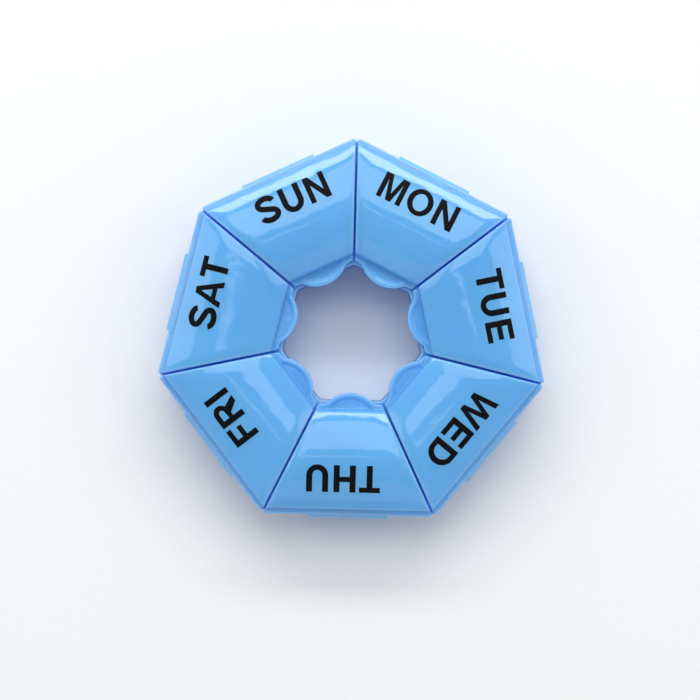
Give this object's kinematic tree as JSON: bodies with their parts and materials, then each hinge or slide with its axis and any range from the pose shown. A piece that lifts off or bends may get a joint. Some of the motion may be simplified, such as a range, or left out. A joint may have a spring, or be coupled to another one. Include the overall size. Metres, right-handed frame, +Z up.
{
  "type": "pill organizer",
  "caption": "Weekly pill organizer: a faceted ring of compartments, each shut by a domed flip lid on a living hinge with a thumb tab in the central opening.",
  "frame": {"origin": "on the ring's axis, in the plane of the base that it rests on", "axes": "+Z up along the ring's axis, from the base to the lids; +Y towards the corner where the Sunday and Monday lids meet; +X to the right of it, seen from above"},
  "size_m": [0.0966, 0.0948, 0.022],
  "materials": {
    "tray_plastic": "satin",
    "lid_plastic": "gloss",
    "hinge_plastic": "satin",
    "day_print": "satin"
  },
  "bodies": {
    "tray": {"tray": "tray_plastic", "hinge_sunday": "hinge_plastic", "hinge_monday": "hinge_plastic", "hinge_tuesday": "hinge_plastic", "hinge_wednesday": "hinge_plastic", "hinge_thursday": "hinge_plastic", "hinge_friday": "hinge_plastic", "hinge_saturday": "hinge_plastic"},
    "lid_sunday": {"lid_sunday": "lid_plastic"},
    "lid_monday": {"lid_monday": "lid_plastic"},
    "lid_tuesday": {"lid_tuesday": "lid_plastic"},
    "lid_wednesday": {"lid_wednesday": "lid_plastic"},
    "lid_thursday": {"lid_thursday": "lid_plastic"},
    "lid_friday": {"lid_friday": "lid_plastic"},
    "lid_saturday": {"lid_saturday": "lid_plastic"}
  },
  "joints": [
    {"name": "sunday_lid_swing", "type": "hinge", "parent": "tray", "child": "lid_sunday", "pos_m": [-0.01974, 0.04098, 0.0161], "axis": [-0.901, -0.4339, 0], "range_deg": [0, 180], "deforming": ["hinge_sunday"]},
    {"name": "monday_lid_swing", "type": "hinge", "parent": "tray", "child": "lid_monday", "pos_m": [0.01974, 0.04098, 0.0161], "axis": [-0.901, 0.4339, 0], "range_deg": [0, 180], "deforming": ["hinge_monday"]},
    {"name": "tuesday_lid_swing", "type": "hinge", "parent": "tray", "child": "lid_tuesday", "pos_m": [0.04435, 0.01012, 0.0161], "axis": [-0.2225, 0.9749, 0], "range_deg": [0, 180], "deforming": ["hinge_tuesday"]},
    {"name": "wednesday_lid_swing", "type": "hinge", "parent": "tray", "child": "lid_wednesday", "pos_m": [0.03556, -0.02836, 0.0161], "axis": [0.6235, 0.7818, 0], "range_deg": [0, 180], "deforming": ["hinge_wednesday"]},
    {"name": "thursday_lid_swing", "type": "hinge", "parent": "tray", "child": "lid_thursday", "pos_m": [0, -0.04549, 0.0161], "axis": [1, 0, 0], "range_deg": [0, 180], "deforming": ["hinge_thursday"]},
    {"name": "friday_lid_swing", "type": "hinge", "parent": "tray", "child": "lid_friday", "pos_m": [-0.03556, -0.02836, 0.0161], "axis": [0.6235, -0.7818, 0], "range_deg": [0, 180], "deforming": ["hinge_friday"]},
    {"name": "saturday_lid_swing", "type": "hinge", "parent": "tray", "child": "lid_saturday", "pos_m": [-0.04435, 0.01012, 0.0161], "axis": [-0.2225, -0.9749, 0], "range_deg": [0, 180], "deforming": ["hinge_saturday"]}
  ]
}
